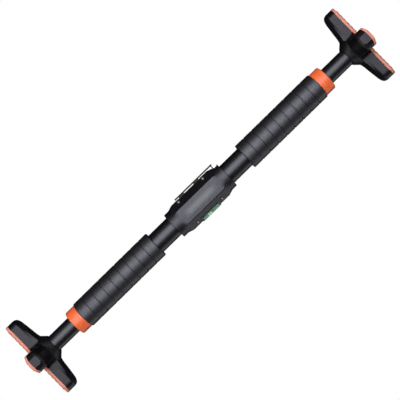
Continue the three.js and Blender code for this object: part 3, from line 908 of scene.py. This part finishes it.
def level_liquid(bore):
    """The vial's fluid, with the bubble as a hollow on its outer side."""
    end = reach("level_fluid")[1][0]
    radius = bore - GAP
    fluid = lathe("level_liquid", rounded([
        (-end, 0, 0), (-end, radius, 0.8), (end, radius, 0.8), (end, 0, 0),
    ], closed=False), 48)
    arc = np.linspace(0, math.pi, 25)
    bubble = lathe("cutter", [(-BUBBLE_HALF * math.cos(a), BUBBLE_R * math.sin(a)) for a in arc], 32)
    bubble.data.transform(Matrix.Translation((BUBBLE_X * MM, 0, (-bore + 0.2) * MM)))
    return carve(fluid, [bubble])


def level_mark(side, radius):
    """Thin black band around the vial."""
    near, far = SIDES[side] * MARK_X - 0.25, SIDES[side] * MARK_X + 0.25
    inner, outer = radius + 0.02, radius + 0.12
    outline = [(near, inner), (near, outer), (far, outer), (far, inner)]
    return lathe(f"level_mark_{side}", outline, 64)


def spirit_level():
    """Green vial with its fluid, bubble and two marks."""
    low, high = reach("level_vial")
    middle = (low + high) / 2
    radius = (high[2] - low[2]) / 2
    bore = radius - VIAL_WALL
    tube = lathe("level_tube", rounded([
        (low[0], bore, 0.2), (low[0], radius, 0.5), (high[0], radius, 0.5), (high[0], bore, 0.2),
    ]), 64)
    fluid = level_liquid(bore)
    marks = [level_mark(side, radius) for side in SIDES]
    for obj in (tube, fluid, *marks):
        obj.data.transform(Matrix.Translation((0, middle[1] * MM, middle[2] * MM)))
    dress(tube, "barrel", "vial_clear", "level_vial")
    dress(fluid, "barrel", "vial_fluid", "level_fluid")
    for mark in marks:
        dress(mark, "barrel", "black_plastic")


# ---------------------------------------------------------------- what keeps its CAD solid

POLISHED = {
    "black_plastic": ["lock_guide", "brake_block_left", "brake_block_right",
                      "level_plug_left", "level_plug_right"],
    "dark_steel": ["lock_lever", "circlip_left", "circlip_right"],
    "steel": ["lever_bracket", "lever_spring", "lever_hinge_pin", "lock_pin_left", "lock_pin_right"],
    "white_plastic": ["centre_spacer"],
}
POLISHED_BOTH_SIDES = {
    "steel": ["brake_drum", "key_bar", "thrust_washer", "thread_bush", "tube_plug",
              "foot_washer", "foot_bolt"],
    "white_plastic": ["bearing", "key_bush"],
}


def polish_hidden_nodes():
    for slot, nodes in POLISHED.items():
        for node in nodes:
            polish(node, LOOKS[slot], edge=0.12 if node == "lever_spring" else 0.25)
    for slot, stems in POLISHED_BOTH_SIDES.items():
        for stem in stems:
            for side in SIDES:
                polish(f"{stem}_{side}", LOOKS[slot])


# ---------------------------------------------------------------- camera, light and floor

CAMERA_DISTANCE = 1.58
CAMERA_RISE = 0.00095
CAMERA_ROLL = math.radians(44.378)
CAMERA_LENS = 90.95
SENSOR = 36
ROOM_GLOW = 0.002  # light that the white room gives to what isn't the camera
LIGHTS = [
    # name, (azimuth, elevation) in degrees, distance and size in metres, power in watts
    ("key_light", (0, 13), 1.3, (1.8, 1.35), 39),
    ("under_light", (0, -104), 1.0, (2.4, 0.45), 5.5),
    ("side_light_left", (-71, 13), 1.5, (0.5, 1.3), 8),
    ("side_light_right", (71, 13), 1.5, (0.5, 1.3), 4.5),
]


def camera():
    """Level with the bar's middle, in front of it, rolled so that the bar runs up to the right."""
    data = bpy.data.cameras.new("camera")
    data.lens = CAMERA_LENS
    data.sensor_width = SENSOR
    made = bpy.data.objects.new("camera", data)
    bpy.context.scene.collection.objects.link(made)
    bpy.context.scene.camera = made
    right = Vector((math.cos(CAMERA_ROLL), 0, -math.sin(CAMERA_ROLL)))
    up = Vector((math.sin(CAMERA_ROLL), 0, math.cos(CAMERA_ROLL)))
    turned = Matrix((right, up, right.cross(up))).transposed()
    made.matrix_world = Matrix.Translation((0, -CAMERA_DISTANCE, CAMERA_RISE)) @ turned.to_4x4()


def soft_light(name, direction, distance, size, power):
    """Rectangular light that faces the bar's middle.

    Azimuth 0 is the camera's side and 90 the bar's right end. Elevation 90 is the lever's side.
    """
    azimuth, elevation = (math.radians(v) for v in direction)
    data = bpy.data.lights.new(name, "AREA")
    data.shape = "RECTANGLE"
    data.size, data.size_y = size
    data.energy = power
    made = bpy.data.objects.new(name, data)
    bpy.context.scene.collection.objects.link(made)
    back = Vector((
        math.sin(azimuth) * math.cos(elevation),
        -math.cos(azimuth) * math.cos(elevation),
        math.sin(elevation),
    ))
    across = Vector((math.cos(azimuth), math.sin(azimuth), 0))
    turned = Matrix((across, back.cross(across), back)).transposed()
    made.matrix_world = Matrix.Translation(back * distance) @ turned.to_4x4()
    made.visible_camera = False


def seen_white(tree, output, kind):
    """White to the camera and through clear pieces, and a faint glow to every other ray."""
    path = add_node(tree, "ShaderNodeLightPath").outputs
    rays = {0: path["Is Camera Ray"], 1: path["Is Transmission Ray"]}
    direct = add_node(tree, "ShaderNodeMath", rays, operation="MAXIMUM")
    shaders = [add_node(tree, kind, {"Color": (1, 1, 1, 1), "Strength": s}) for s in (ROOM_GLOW, 1.0)]
    mix = add_node(tree, "ShaderNodeMixShader", {"Fac": direct.outputs["Value"]})
    for place, shader in enumerate(shaders):
        tree.links.new(shader.outputs[0], mix.inputs[place + 1])
    tree.links.new(mix.outputs["Shader"], output.inputs["Surface"])


def white_room():
    scene = bpy.context.scene
    scene.view_settings.view_transform = "Standard"
    world = bpy.data.worlds.new("white_room")
    world.use_nodes = True
    scene.world = world
    seen_white(world.node_tree, world.node_tree.nodes["World Output"], "ShaderNodeBackground")


def white_floor():
    """Plain sheet just below the bar, which throws no light or shade on it."""
    half = 4.0 / MM
    floor_z = cad_box[0][2] / MM - 0.2
    corners = [(a * half, b * half, floor_z) for a, b in ((-1, -1), (1, -1), (1, 1), (-1, 1))]
    floor = make_object("floor", corners, [(0, 1, 2, 3)])
    paint = bpy.data.materials.new("white_floor")
    paint.use_nodes = True
    tree = paint.node_tree
    tree.nodes.remove(tree.nodes["Principled BSDF"])
    seen_white(tree, tree.nodes["Material Output"], "ShaderNodeEmission")
    floor.data.materials.append(paint)
    floor.visible_diffuse = False
    floor.visible_glossy = False
    floor.visible_shadow = False


def studio():
    """White room and floor, a large soft light in front, a strip below and one at each end."""
    white_room()
    white_floor()
    for name, direction, distance, size, power in LIGHTS:
        soft_light(name, direction, distance, size, power)


# ---------------------------------------------------------------- assembly

camera()
studio()
outer_tube()
for hand_side in SIDES:
    foam_grip(hand_side)
    end_collar(hand_side)
    inner_tube(hand_side)
    four_arm_foot(hand_side)
    ribbed_pad(hand_side)
for shell_facing in (1, -1):
    housing_shell(shell_facing)
for screw_number in range(1, 5):
    cross_screw(screw_number)
spirit_level()
polish_hidden_nodes()
